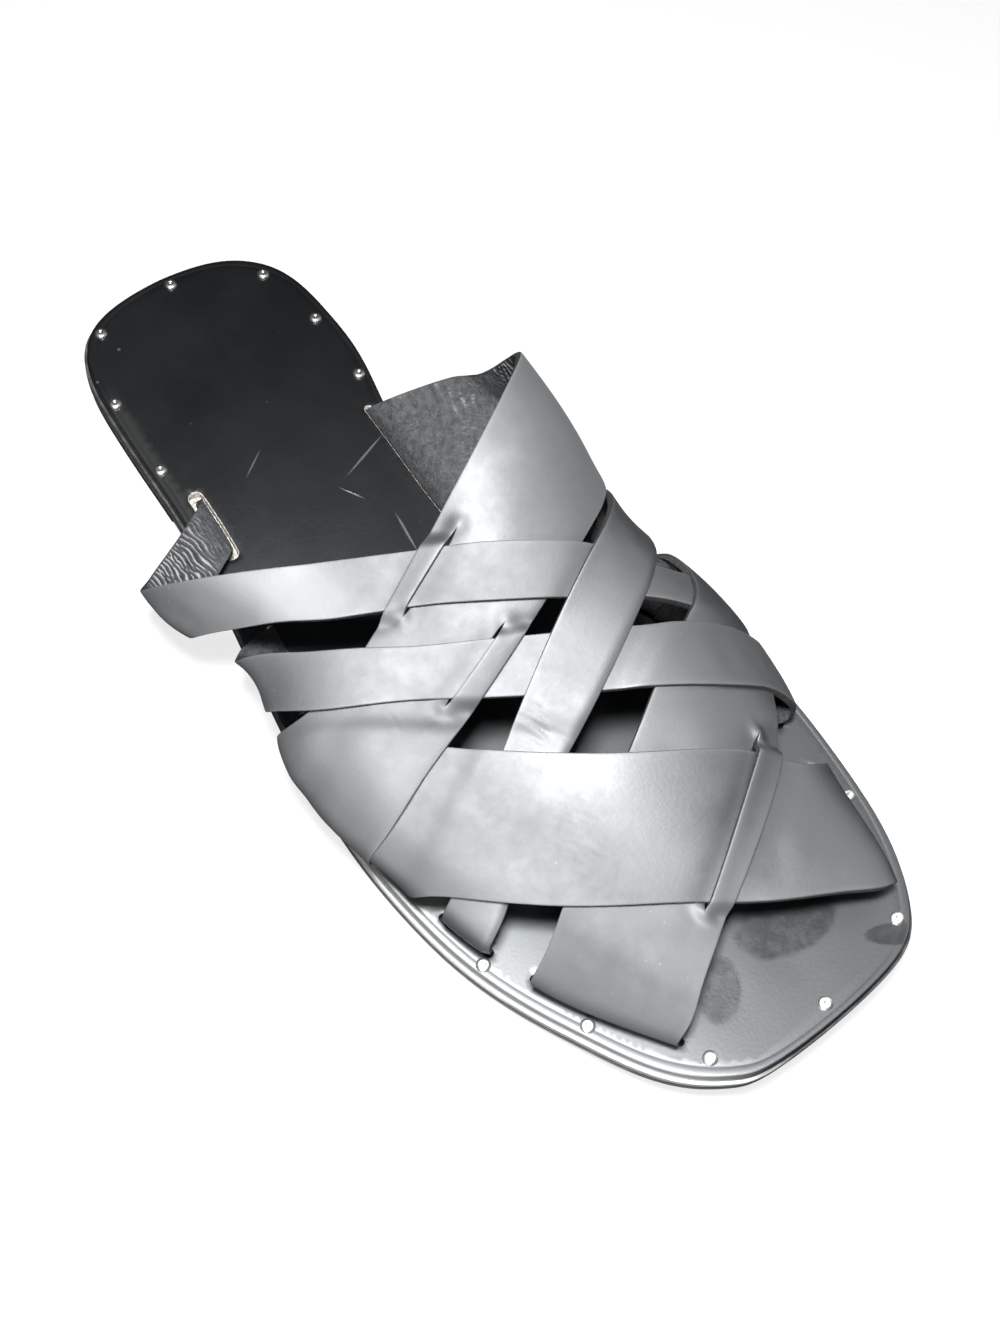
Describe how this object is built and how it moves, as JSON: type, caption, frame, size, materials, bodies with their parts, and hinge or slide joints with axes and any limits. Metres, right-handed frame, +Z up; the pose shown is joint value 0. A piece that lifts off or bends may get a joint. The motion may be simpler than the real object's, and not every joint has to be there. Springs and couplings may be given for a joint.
{
  "type": "slide sandal",
  "caption": "Right slide sandal with an upper of woven leather straps let into slots in a flat nailed leather footbed, on a thin layered sole with a low heel.",
  "frame": {"origin": "on the floor plane, under the middle of the heel, 35 mm in front of the back of the heel", "axes": "+Y from the heel to the toe, +X to the little toe side, +Z up"},
  "size_m": [0.1177, 0.26, 0.0585],
  "materials": {
    "strap_leather": "smooth black leather, semi-gloss, flesh side rougher",
    "footbed_leather": "smooth black leather with a burnished edge",
    "midsole_leather": "black edge-dyed leather board",
    "sole_rubber": "matt black thin sole",
    "nail_metal": "bright silver nail heads"
  },
  "bodies": {
    "root": {"upper": "strap_leather", "footbed": "footbed_leather", "midsole": "midsole_leather", "outsole": "sole_rubber", "heel_lift": "sole_rubber", "nail_01": "nail_metal", "nail_02": "nail_metal", "nail_03": "nail_metal", "nail_04": "nail_metal", "nail_05": "nail_metal", "nail_06": "nail_metal", "nail_07": "nail_metal", "nail_08": "nail_metal", "nail_09": "nail_metal", "nail_10": "nail_metal", "nail_11": "nail_metal", "nail_12": "nail_metal", "nail_13": "nail_metal", "nail_14": "nail_metal", "nail_15": "nail_metal", "nail_16": "nail_metal"}
  },
  "joints": []
}
